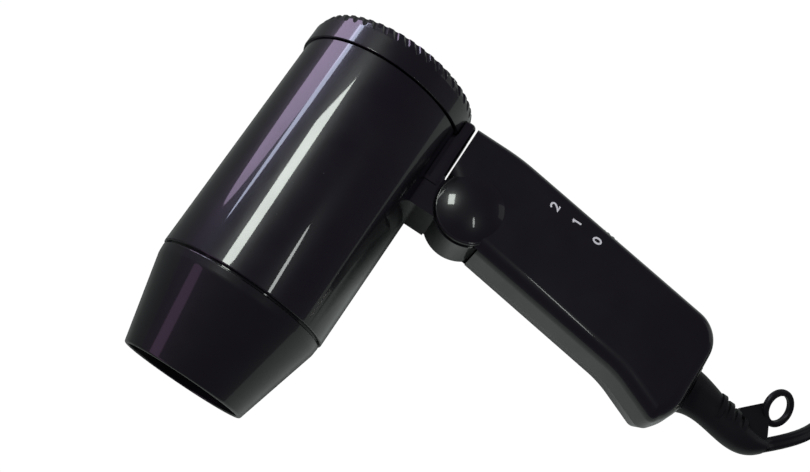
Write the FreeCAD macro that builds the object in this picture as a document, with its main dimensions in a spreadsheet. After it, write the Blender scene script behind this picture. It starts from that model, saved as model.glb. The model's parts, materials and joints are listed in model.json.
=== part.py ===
"""Folding travel hair dryer, millimetres.

The pieces are drawn in the barrel frame: Y runs along the barrel from its mouth (y = 0) to its intake,
X runs from the barrel's axis towards the handle, and Z is across, with the parting plane of the
mouldings at z = 0. The dryer lies on its side, so Z is up, and every piece's Placement moves the
barrel frame so that the origin is under the middle of the dryer, on the surface that it lies on.
"""
import FreeCAD, Part
import Sketcher
import math
import os

Vector = FreeCAD.Vector
doc = FreeCAD.newDocument("travel_hair_dryer")

# ---------------------------------------------------------------- driving dimensions
SIZES = {
    # barrel
    "barrel_length": 143.6,
    "mouth_radius": 24.5,
    "mouth_bore_radius": 22.9,
    "mouth_land": 6.0,
    "nozzle_length": 36.4,
    "nozzle_back_radius": 33.8,
    "seam_gap": 0.8,
    "barrel_front_radius": 34.25,
    "barrel_back_radius": 35.0,
    "barrel_bore_radius": 32.2,
    "barrel_end": 131.0,
    "cover_radius": 36.0,
    "cover_band_end": 139.2,
    "cover_back_radius": 34.4,
    "cover_skirt_radius": 32.12,
    "knurl_count": 48,
    # neck and hinge
    "neck_front": 98.5,
    "neck_step": 109.3,
    "neck_back": 138.6,
    "neck_face": 38.1,
    "neck_half_width": 14.3,
    "neck_front_half_width": 13.7,
    "hinge_x": 53.0,
    "hinge_y": 109.5,
    "knuckle_radius": 14.7,
    "knuckle_half_width": 11.1,
    "ear_inside": 11.8,
    "ear_radius": 14.1,
    "ear_clearance_radius": 15.0,
    "slot_radius": 15.1,
    "dome_top": 17.5,
    "pin_radius": 3.0,
    "pin_running_gap": 0.05,
    "pin_half_length": 15.4,
    # handle
    "handle_end": 159.2,
    "handle_root": 38.9,
    "handle_slope": 8.3,
    "handle_half_width": 14.4,
    "handle_wall": 2.2,
    "handle_taper": 8.0,
    "handle_back_edge": 4.0,
    "handle_front_edge": 6.0,
    "handle_front_inset": 3.4,
    "front_wall_reach": 11.75,
    # switch
    "switch_travel": 20.0,
    "cap_length": 6.4,
    "cap_half_width": 4.2,
    "cap_rise": 1.5,
    # fan and heater
    "duct_front": 84.0,
    "duct_back": 128.4,
    "duct_bore_radius": 30.9,
    "motor_radius": 13.9,
    "motor_front": 88.0,
    "motor_back": 115.0,
    "shaft_radius": 1.15,
    "fan_radius": 30.2,
    "fan_front": 118.4,
    "fan_back": 126.8,
    "fan_blades": 9,
    "heater_front": 42.0,
    "mica_radius": 27.2,
    "coil_turns": 7,
    "coil_ring_radius": 22.2,
    "coil_wire_radius": 1.4,
    # strain relief and hang loop
    "loop_x": 193.8,
    "loop_y": 114.7,
    "loop_hole_radius": 5.2,
    "loop_bar": 2.5,
    "loop_tilt": 32.0,
    "loop_turn": 66.0,
    # cord, coil and plug
    "cord_width": 5.4,
    "coil_x": 263.0,
    "coil_y": 149.0,
    "coil_inside": 22.0,
    "coil_outside": 38.2,
    "coil_height": 16.2,
    "tie_thickness": 0.9,
    "plug_offset": 14.0,
    "plug_width": 33.0,
    "plug_thickness": 15.0,
    "plug_body_length": 34.0,
    "plug_neck_length": 14.0,
    "plug_pin_radius": 2.4,
    "plug_pin_length": 19.0,
    "plug_pin_pitch": 19.0,
}
sheet = doc.addObject("Spreadsheet::Sheet", "sizes")
for row, (alias, value) in enumerate(SIZES.items(), 1):
    sheet.set(f"A{row}", alias)
    sheet.set(f"B{row}", str(value))
    sheet.setAlias(f"B{row}", alias)
doc.recompute()


def size(alias):
    """The value of one cell of the sheet."""
    return float(sheet.get(alias))


HINGE = Vector(size("hinge_x"), size("hinge_y"), 0)
SLOPE = math.radians(size("handle_slope"))
ALONG = Vector(math.cos(SLOPE), -math.sin(SLOPE), 0)     # down the handle, away from the barrel
ACROSS = Vector(math.sin(SLOPE), math.cos(SLOPE), 0)     # from the handle's front wall to its back
LOOP_OVERHANG = 6.95     # how far the tilted hang loop reaches past its middle
DRYER_END = size("loop_x") + LOOP_OVERHANG
FRAME = FreeCAD.Placement(
    Vector((size("cover_radius") - DRYER_END) / 2, -size("barrel_length") / 2, size("cover_radius")),
    FreeCAD.Rotation(),
)
FLOOR = -size("cover_radius")
pieces = {}


def on_handle(along, across, height=0.0):
    """A point given by its distances from the hinge, down the handle and towards its back."""
    return HINGE + ALONG * along + ACROSS * across + Vector(0, 0, height)


# ---------------------------------------------------------------- helpers
def keep(obj, name):
    """Names a finished sub-part and moves it from the barrel frame to the dryer's own frame."""
    obj.Label = name
    obj.Placement = FRAME.multiply(obj.Placement)
    pieces[name] = obj
    return obj


def rounded(corners):
    """Straight edges and tangent arcs round a closed outline of (x, y) or (x, y, radius) corners."""
    points = [Vector(c[0], c[1], 0) for c in corners]
    radii = [c[2] if len(c) > 2 else 0 for c in corners]
    starts, ends, arcs = [], [], []
    for i, corner in enumerate(points):
        back = (points[i - 1] - corner).normalize()
        ahead = (points[(i + 1) % len(points)] - corner).normalize()
        if not radii[i]:
            starts.append(corner)
            ends.append(corner)
            arcs.append(None)
            continue
        half = back.getAngle(ahead) / 2
        reach = radii[i] / math.tan(half)
        middle = corner + (back + ahead).normalize() * (radii[i] / math.sin(half))
        crown = middle + (corner - middle).normalize() * radii[i]
        starts.append(corner + back * reach)
        ends.append(corner + ahead * reach)
        arcs.append(Part.Arc(starts[-1], crown, ends[-1]))
    edges = []
    for i in range(len(points)):
        if arcs[i]:
            edges.append(arcs[i])
        nxt = starts[(i + 1) % len(points)]
        if ends[i].distanceToPoint(nxt) > 1e-6:
            edges.append(Part.LineSegment(ends[i], nxt))
    return edges


def plane(body, role):
    return [f for f in body.Origin.OriginFeatures if f.Role == role][0]


def new_sketch(body, name, geometry, height=0.0, role="XY_Plane"):
    """A sketch of ready edges on one of the body's own origin planes, raised by height."""
    sketch = body.newObject("Sketcher::SketchObject", name)
    sketch.AttachmentSupport = [(plane(body, role), "")]
    sketch.MapMode = "FlatFace"
    sketch.AttachmentOffset = FreeCAD.Placement(Vector(0, 0, height), FreeCAD.Rotation())
    sketch.addGeometry(geometry, False)
    return sketch


def circle(centre, radius):
    return [Part.Circle(Vector(centre[0], centre[1], 0), Vector(0, 0, 1), radius)]


def bind_radius(sketch, expression):
    """Ties the first circle of a sketch to the sheet."""
    index = sketch.addConstraint(Sketcher.Constraint("Radius", 0, sketch.Geometry[0].Radius))
    sketch.setExpression(f"Constraints[{index}]", expression)


def feature(body, kind, name, profile=None, **settings):
    """A PartDesign feature; a setting given as text is an expression on the sheet."""
    made = body.newObject(f"PartDesign::{kind}", name)
    if profile:
        made.Profile = profile
    for key, value in settings.items():
        if isinstance(value, str) and value.startswith("="):
            made.setExpression(key, value[1:])
        else:
            setattr(made, key, value)
    return made


def turned(body, name, corners, cut=False):
    """A full turn about the barrel's axis of an outline in the XY plane."""
    sketch = new_sketch(body, f"{name}_profile", rounded(corners))
    kind = "Groove" if cut else "Revolution"
    made = feature(body, kind, name, sketch, ReferenceAxis=(sketch, ["V_Axis"]), Angle=360.0)
    return made


def padded(body, name, corners, length, height=0.0, **settings):
    sketch = new_sketch(body, f"{name}_profile", rounded(corners), height)
    return feature(body, "Pad", name, sketch, Length=length, **settings)


def pocketed(body, name, geometry, length, height=0.0, **settings):
    sketch = new_sketch(body, f"{name}_profile", geometry, height)
    return feature(body, "Pocket", name, sketch, Length=length, **settings)


def new_body(name):
    body = doc.addObject("PartDesign::Body", name)
    body.Label = name
    return body


def box(corner, extent, turn=None):
    """A Part::Box from its lowest corner, or turned about Z at that corner."""
    made = doc.addObject("Part::Box", "block")
    made.Length, made.Width, made.Height = extent
    made.Placement = FreeCAD.Placement(Vector(*corner), turn or FreeCAD.Rotation())
    return made


def cylinder(radius, length, start, direction, name="round"):
    """A Part::Cylinder bound to the sheet where radius or length is an expression."""
    made = doc.addObject("Part::Cylinder", name)
    for key, value in (("Radius", radius), ("Height", length)):
        if isinstance(value, str):
            made.setExpression(key, value)
        else:
            setattr(made, key, value)
    turn = FreeCAD.Rotation(Vector(0, 0, 1), Vector(*direction))
    made.Placement = FreeCAD.Placement(Vector(*start), turn)
    return made


def fused(name, shapes):
    made = doc.addObject("Part::MultiFuse", name)
    made.Shapes = shapes
    return made


def cut(name, base, tools):
    made = doc.addObject("Part::Cut", name)
    made.Base = base
    made.Tool = tools[0] if len(tools) == 1 else fused(f"{name}_tools", tools)
    return made


def from_code(name, shape):
    made = doc.addObject("Part::Feature", name)
    made.Shape = shape
    return made


def grouped(name, shapes):
    made = doc.addObject("Part::Compound", name)
    made.Links = shapes
    return made


ACROSS_PLANE = (0, 0, 1)
DOWN_BARREL = (0, 1, 0)
LEFT, RIGHT = 1, -1      # +Z is the left side of the dryer as it is held


def halved(body, side):
    """Cuts away the other side of the parting plane."""
    reach = 400.0
    outline = rounded([(-reach, -reach), (reach, -reach), (reach, reach), (-reach, reach)])
    pocketed(body, "parting_plane", outline, 100.0, Reversed=side < 0)


# ---------------------------------------------------------------- barrel
NECK_SCREWS = [(35.7, 102.6), (35.7, 127.0)]


def barrel_shell(side, name):
    """Half of the barrel's tube with its half of the neck and of the hinge knuckle."""
    body = new_body(name)
    start = size("nozzle_length") + size("seam_gap")
    end = size("barrel_end")
    turned(body, "tube", [
        (0, start), (size("barrel_front_radius"), start, 0.5),
        (size("barrel_back_radius"), end, 0.3), (0, end),
    ])
    front, step, back = size("neck_front"), size("neck_step"), size("neck_back")
    face = size("neck_face")
    padded(body, "neck_back_block", [(25, step), (face, step), (face, back, 2.0), (25, back)],
           2 * size("neck_half_width"), Midplane=True)
    horn = face + 5.2
    padded(body, "neck_front_block",
           [(25, front), (horn, front), (horn, step), (face, step + 4.7), (25, step + 4.7)],
           2 * size("neck_front_half_width"), Midplane=True)
    doc.recompute()
    corners = [e for e in body.Tip.Shape.Edges if is_neck_corner(e)]
    if corners:
        fillet_on(body, "neck_corners", corners, 2.2)
    for label, low, up in (("left", 12.2, True), ("right", -12.2, False)):
        pocketed(body, f"neck_groove_{label}",
                 rounded([(31.6, step + 1.5), (33.2, step + 1.5), (33.2, back + 2), (31.6, back + 2)]),
                 6.0, low, Reversed=up)
    ear_gap = circle(HINGE, size("ear_clearance_radius"))
    inside = size("knuckle_half_width")
    for label, height, up in (("left", inside, True), ("right", -inside, False)):
        gap = pocketed(body, f"ear_gap_{label}", ear_gap, 20.0, height, Reversed=up)
        bind_radius(gap.Profile[0], "sizes.ear_clearance_radius")
    knuckle = new_sketch(body, "knuckle_profile", circle(HINGE, size("knuckle_radius")))
    bind_radius(knuckle, "sizes.knuckle_radius")
    feature(body, "Pad", "knuckle", knuckle, Length="=2 * sizes.knuckle_half_width", Midplane=True)
    web_end = HINGE.x - math.sqrt(size("knuckle_radius") ** 2 - (HINGE.y - front) ** 2)
    padded(body, "knuckle_web",
           [(face - 3, front), (web_end + 1, front), (HINGE.x, HINGE.y), (face - 3, step + 6)],
           2 * inside, Midplane=True)
    turned(body, "bore", [(0, start - 5), (size("barrel_bore_radius"), start - 5),
                          (size("barrel_bore_radius"), back + 5), (0, back + 5)], cut=True)
    over = size("cover_radius") + 0.4
    turned(body, "cover_clearance", [(0, end), (over, end), (over, back + 5), (0, back + 5)], cut=True)
    hinge_bore = pocketed(body, "hinge_bore", circle(HINGE, size("pin_radius") + size("pin_running_gap")),
                          60.0, Midplane=True)
    bind_radius(hinge_bore.Profile[0], "sizes.pin_radius + sizes.pin_running_gap")
    pocketed(body, "lead_passage", rounded([(29, 112), (41, 112), (41, 117), (29, 117)]), 5.0, Midplane=True)
    for i, spot in enumerate(NECK_SCREWS):
        if side == LEFT:
            pocketed(body, f"screw_pilot_{i}", circle(spot, 0.9), 9.0, Reversed=True)
        else:
            pocketed(body, f"screw_hole_{i}", circle(spot, 1.25), 30.0)
            pocketed(body, f"screw_seat_{i}", circle(spot, 2.1), 30.0, -10.9)
    halved(body, side)
    return keep(body, name)


def is_neck_corner(edge):
    """The neck's long outer edges at its flat face, and its upright front and back corners."""
    box_ = edge.BoundBox
    flat = abs(box_.XMin - size("neck_face")) < 0.01 and abs(box_.XMax - size("neck_face")) < 0.01
    lengthwise = box_.YLength > 20 and box_.ZLength < 0.01
    return flat and lengthwise and abs(abs(box_.ZMin) - size("neck_half_width")) < 0.01


def fillet_on(body, name, edges, radius):
    """A fillet on edges of the body's present shape."""
    doc.recompute()
    base = body.Tip
    names = []
    for i, edge in enumerate(base.Shape.Edges, 1):
        if any(edge.isSame(wanted) for wanted in edges):
            names.append(f"Edge{i}")
    made = body.newObject("PartDesign::Fillet", name)
    made.Base = (base, names)
    made.Radius = radius
    return made


def outlet_nozzle():
    """The cone in front of the barrel: a straight bore at the mouth, a shelf for the guard, a spigot."""
    body = new_body("outlet_nozzle")
    long = size("nozzle_length")
    mouth, bore = size("mouth_radius"), size("mouth_bore_radius")
    spigot = size("barrel_bore_radius")
    turned(body, "cone", [
        (bore, 0, 0.5), (mouth, 0, 0.9), (size("nozzle_back_radius") - 0.3, long - 3.4, 6.0),
        (size("nozzle_back_radius"), long, 0.4), (spigot, long), (spigot, long + 6.6, 0.4),
        (spigot - 1.6, long + 6.6, 0.4), (spigot - 1.6, long - 4.0, 3.0), (26.4, 14.0),
        (26.4, 12.0), (24.4, 12.0), (bore, size("mouth_land")),
    ])
    return keep(body, "outlet_nozzle")


def outlet_guard():
    """Wire guard behind the mouth: a rim, two rings and six spokes round a hub."""
    rim = cut("guard_rim", cylinder(26.3, 1.8, (0, 12.0, 0), DOWN_BARREL),
              [cylinder(24.6, 4.0, (0, 11.0, 0), DOWN_BARREL)])
    parts = [rim, cylinder(4.5, 1.4, (0, 12.2, 0), DOWN_BARREL)]
    for radius in (11.0, 18.0):
        ring = doc.addObject("Part::Torus", "guard_ring")
        ring.Radius1 = radius
        ring.Radius2 = 0.6
        ring.Placement = FreeCAD.Placement(
            Vector(0, 12.9, 0), FreeCAD.Rotation(Vector(0, 0, 1), Vector(*DOWN_BARREL)))
        parts.append(ring)
    for i in range(6):
        angle = math.radians(60 * i + 30)
        direction = (math.cos(angle), 0, math.sin(angle))
        start = (3.5 * direction[0], 12.9, 3.5 * direction[2])
        parts.append(cylinder(0.6, 21.6, start, direction))
    return keep(fused("outlet_guard", parts), "outlet_guard")


def intake_cover():
    """The turning cover at the back: a smooth band, a knurled rim, a slotted face and a skirt."""
    body = new_body("intake_cover_blank")
    end = size("barrel_end")
    radius, skirt = size("cover_radius"), size("cover_skirt_radius")
    back, length = size("cover_back_radius"), size("barrel_length")
    band = size("cover_band_end")
    turned(body, "shell", [
        (0, length - 2.6), (skirt - 1.6, length - 2.6, 0.5), (skirt - 1.6, end - 2.4), (skirt, end - 2.4),
        (skirt, end + 0.3), (radius, end + 0.3, 0.3), (radius, band), (radius - 0.5, band + 0.3),
        (radius - 0.6, length - 2.4, 1.0), (back, length, 0.6), (0, length),
    ])
    doc.recompute()
    for ring, (inner, outer, count, width) in enumerate(((7.0, 14.5, 12, 2.0), (17.5, 29.5, 30, 2.2))):
        half = width / 2
        slot = rounded([(inner, -half, half * 0.98), (outer, -half, half * 0.98),
                        (outer, half, half * 0.98), (inner, half, half * 0.98)])
        cutter = new_sketch(body, f"slot_profile_{ring}", slot, -length, "XZ_Plane")
        pocket = feature(body, "Pocket", f"slot_{ring}", cutter, Length=8.0, Midplane=True)
        doc.recompute()
        pattern = body.newObject("PartDesign::PolarPattern", f"slots_{ring}")
        pattern.Originals = [pocket]
        pattern.Axis = (plane(body, "Y_Axis"), [""])
        pattern.Angle = 360.0
        pattern.Occurrences = count
        body.Tip = pattern
        doc.recompute()
    grooves = []
    count = int(size("knurl_count"))
    middle = (band + length) / 2 + 0.6
    for i in range(count):
        angle = 2 * math.pi * i / count
        out = Vector(math.cos(angle), 0, math.sin(angle))
        round_the_rim = Vector(-math.sin(angle), 0, math.cos(angle))
        lean = (Vector(0, 1, 0) + round_the_rim * math.tan(math.radians(28)) - out * 0.5).normalize()
        centre = out * (radius - 0.2) + Vector(0, middle, 0)
        grooves.append(Part.makeCylinder(1.4, 9.0, centre - lean * 2.4, lean))
    knurl = from_code("knurl_grooves", Part.makeCompound(grooves))
    return keep(cut("intake_cover", body, [knurl]), "intake_cover")


def barrel_screws():
    """Two self-tapping screws that hold the barrel's halves together through the neck."""
    parts = []
    for x, y in NECK_SCREWS:
        head = cylinder(2.0, 1.5, (x, y, -12.4), ACROSS_PLANE)
        shank = cylinder(0.9, 19.4, (x, y, -11.0), ACROSS_PLANE)
        slot = box((x - 1.5, y - 0.25, -12.5), (3.0, 0.5, 0.7))
        parts.append(cut("barrel_screw", fused("screw_blank", [head, shank]), [slot]))
    return keep(grouped("barrel_screws", parts), "barrel_screws")


# ---------------------------------------------------------------- fan, motor and heater
def fan_duct():
    """Ring with seven vanes that carries the motor's cup."""
    front, back = size("duct_front"), size("duct_back")
    outer = cylinder("sizes.barrel_bore_radius", "sizes.duct_back - sizes.duct_front",
                     (0, front, 0), DOWN_BARREL)
    bore = cylinder("sizes.duct_bore_radius", back - front + 2, (0, front - 1, 0), DOWN_BARREL)
    ring = cut("duct_ring", outer, [bore])
    parts = [ring, cylinder("sizes.motor_radius + 1.6", 31.0, (0, front + 2, 0), DOWN_BARREL)]
    for i in range(7):
        angle = 360 / 7 * i
        vane = box((14.5, front + 3, -0.6), (17.0, 24.0, 1.2))
        turn = FreeCAD.Rotation(Vector(0, 1, 0), angle)
        vane.Placement = FreeCAD.Placement(turn.multVec(Vector(14.5, front + 3, -0.6)), turn)
        parts.append(vane)
    cup = cylinder("sizes.motor_radius", 40.0, (0, size("motor_front") - 6, 0), DOWN_BARREL)
    return keep(cut("fan_duct", fused("duct_blank", parts), [cup]), "fan_duct")


def motor():
    """Motor can with an end cap, two magnets inside it, and the armature on its shaft."""
    front, back = size("motor_front"), size("motor_back")
    radius = size("motor_radius")
    can = cut("can", cylinder("sizes.motor_radius", back - front, (0, front, 0), DOWN_BARREL),
              [cylinder(radius - 0.9, back - front - 1.0, (0, front, 0), DOWN_BARREL),
               cylinder("sizes.shaft_radius + 0.05", 80.0, (0, 70, 0), DOWN_BARREL)])
    keep(can, "motor_can")
    cap = cut("cap", fused("cap_blank", [
        cylinder(radius - 0.9, 1.6, (0, front, 0), DOWN_BARREL),
        cylinder(3.6, 3.0, (0, front - 3.0, 0), DOWN_BARREL)]),
        [cylinder("sizes.shaft_radius + 0.05", 80.0, (0, 70, 0), DOWN_BARREL)])
    keep(cap, "motor_end_cap")
    ring = cut("magnet_ring", cylinder(radius - 0.9, 17.0, (0, front + 4.5, 0), DOWN_BARREL),
               [cylinder(radius - 3.2, 20.0, (0, front + 3, 0), DOWN_BARREL),
                box((-2.5, front, -20), (5.0, 30.0, 40.0))])
    keep(ring, "motor_magnets")
    stack = cylinder(radius - 3.7, 14.0, (0, front + 6, 0), DOWN_BARREL)
    slots = []
    for i in range(3):
        turn = FreeCAD.Rotation(Vector(0, 1, 0), 120 * i)
        slot = box((0, 0, 0), (8.0, 30.0, 2.4))
        slot.Placement = FreeCAD.Placement(turn.multVec(Vector(4.0, front, -1.2)), turn)
        slots.append(slot)
    collector = cylinder(2.6, 4.0, (0, front + 2.2, 0), DOWN_BARREL)
    armature = fused("armature_blank", [cut("armature_stack", stack, slots), collector])
    hole = cylinder("sizes.shaft_radius", 60.0, (0, 80, 0), DOWN_BARREL)
    keep(cut("armature", armature, [hole]), "motor_armature")
    shaft = cylinder("sizes.shaft_radius", 126.0 - front + 3.5, (0, front - 3.5, 0), DOWN_BARREL)
    keep(shaft, "motor_shaft")


def fan():
    """Axial fan with a nose cone and pitched blades, pushed on the motor's shaft."""
    front, back = size("fan_front"), size("fan_back")
    hub = cylinder(12.5, back - front, (0, front, 0), DOWN_BARREL)
    nose = doc.addObject("Part::Cone", "nose")
    nose.Radius1, nose.Radius2, nose.Height = 12.5, 9.0, 1.4
    nose.Placement = FreeCAD.Placement(Vector(0, back, 0), FreeCAD.Rotation(Vector(0, 0, 1), Vector(0, 1, 0)))
    blades = []
    count = int(size("fan_blades"))
    for i in range(count):
        around = FreeCAD.Rotation(Vector(0, 1, 0), 360 / count * i)
        pitch = FreeCAD.Rotation(Vector(1, 0, 0), 52)
        blade = box((0, 0, 0), (22.0, 10.6, 1.0))
        turn = around.multiply(pitch)
        middle = turn.multVec(Vector(11.5, -5.3, -0.5))
        blade.Placement = FreeCAD.Placement(middle + Vector(0, (front + back) / 2, 0), turn)
        blades.append(blade)
    envelope = cylinder("sizes.fan_radius", back - front, (0, front, 0), DOWN_BARREL)
    trimmed = doc.addObject("Part::Common", "blades")
    trimmed.Base = fused("blade_blanks", blades)
    trimmed.Tool = envelope
    hole = cylinder("sizes.shaft_radius", 40.0, (0, 100, 0), DOWN_BARREL)
    return keep(cut("fan", fused("fan_blank", [hub, nose, trimmed]), [hole]), "fan")


def rectifier_board():
    """Round board in front of the motor with four diodes on it."""
    y = size("motor_front") - 5.2
    parts = [cylinder(12.5, 1.2, (0, y, 0), DOWN_BARREL)]
    for x in (-6.0, 6.0):
        for z in (-4.0, 4.0):
            parts.append(box((x - 1.4, y - 2.6, z - 2.4), (2.8, 2.7, 4.8)))
    hole = cylinder(4.0, 20.0, (0, y - 8, 0), DOWN_BARREL)
    return keep(cut("rectifier_board", fused("board_blank", parts), [hole]), "rectifier_board")


def heater():
    """Insulating sleeve, crossed boards, the wound element, its thermostat and thermal fuse."""
    front, back = size("heater_front"), size("duct_front")
    sleeve = cut("sleeve", cylinder("sizes.mica_radius + 0.5", back - front, (0, front, 0), DOWN_BARREL),
                 [cylinder("sizes.mica_radius", back - front + 2, (0, front - 1, 0), DOWN_BARREL)])
    keep(sleeve, "heater_sleeve")
    half = size("coil_ring_radius") - size("coil_wire_radius") - 0.3
    start, end = front + 2.0, back - 4.0
    boards = fused("boards", [
        box((-half, start, -0.4), (2 * half, end - start, 0.8)),
        box((-0.4, start, -half), (0.8, end - start, 2 * half))])
    keep(boards, "heater_boards")
    turns = int(size("coil_turns"))
    pitch = 4.6
    parts = []
    for i in range(turns):
        ring = doc.addObject("Part::Torus", "turn")
        ring.setExpression("Radius1", "sizes.coil_ring_radius")
        ring.setExpression("Radius2", "sizes.coil_wire_radius")
        ring.Placement = FreeCAD.Placement(
            Vector(0, start + 4 + pitch * i, 0), FreeCAD.Rotation(Vector(0, 0, 1), Vector(0, 1, 0)))
        parts.append(ring)
    reach = size("coil_ring_radius") * math.sqrt(0.5)
    for x, z in ((reach, reach), (-reach, -reach)):
        parts.append(cylinder(0.8, pitch * (turns - 1), (x, start + 4, z), DOWN_BARREL))
    keep(fused("element", parts), "heating_element")
    thermostat = fused("thermostat", [
        box((4.0, start + 6, 0.4), (7.0, 16.0, 1.0)), box((4.5, start + 7, 1.4), (6.0, 9.0, 2.6))])
    keep(thermostat, "thermostat")
    keep(cylinder(1.9, 11.0, (-8.0, start + 8, 2.3), DOWN_BARREL), "thermal_fuse")


def intake_filter():
    """Fine mesh disc behind the intake slots."""
    return keep(cylinder(29.9, 0.6, (0, size("barrel_length") - 3.2, 0), DOWN_BARREL), "intake_filter")


# ---------------------------------------------------------------- hinge
def hinge():
    half = size("pin_half_length")
    pin = cylinder("sizes.pin_radius", "2 * sizes.pin_half_length", (HINGE.x, HINGE.y, -half), ACROSS_PLANE)
    keep(pin, "hinge_pin")
    thick = 0.4
    inside = size("ear_inside")
    washers = []
    for low in (inside - thick, -inside):
        ring = cylinder(8.5, thick, (HINGE.x, HINGE.y, low), ACROSS_PLANE)
        hole = cylinder("sizes.pin_radius", thick + 2, (HINGE.x, HINGE.y, low - 1), ACROSS_PLANE)
        washers.append(cut("washer", ring, [hole]))
    keep(grouped("hinge_washers", washers), "hinge_washers")


# ---------------------------------------------------------------- handle
HANDLE_SCREWS = [(18.0, 12.0), (88.0, 24.0), (88.0, -3.5)]
SLIDER_AT = 47.0          # the switch's cap, down the handle from the hinge, at 0
BACK_WALL = 31.0          # the handle's back wall, across from the hinge
FRONT_WALL = 12.6


def handle_outline(inset=0.0, front=0.0, overrun=0.0):
    """The handle's outline at the parting plane: root, back wall, end, finger stop and front wall.

    It can be drawn inset, more so along the front wall, and its root can run over for a later cut.
    """
    back_point = on_handle(20, BACK_WALL - inset)
    slope = math.tan(SLOPE)
    root = size("handle_root") + inset
    end = size("handle_end") - inset
    top = 140.0 - inset

    def back_y(x):
        return back_point.y - slope * (x - back_point.x)

    front_point = on_handle(20, -FRONT_WALL + front)

    def front_y(x):
        return front_point.y - slope * (x - front_point.x)

    ease = max(1.0, 1 - inset)
    extra = max(0.0, front - inset)
    bend = back_point.x + (back_point.y - top) / slope
    stop_low = 76.9 + 1.2 * front
    return [
        (root - overrun, top, max(0.6, 3.0 - inset)), (bend, top, 90.0),
        (end, back_y(end), 14.0 - inset), (end, 86.7 + 0.4 * inset, 20.0 - inset - 2.0 * extra),
        (150.8 - 0.8 * inset, stop_low, 4.6 * ease - 0.6 * inset), (130.4, front_y(130.4), 40.0),
        (root, front_y(root), 12.4 - inset),
    ] + ([(root, HINGE.y + 4.0), (root - overrun, HINGE.y + 9.0)] if overrun else [])


def edge_radius(point):
    """The rounding of the handle's flat side at a point of its edge: softer towards the fingers."""
    return size("handle_back_edge") if ACROSS.dot(point - HINGE) > 10 else size("handle_front_edge")


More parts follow.
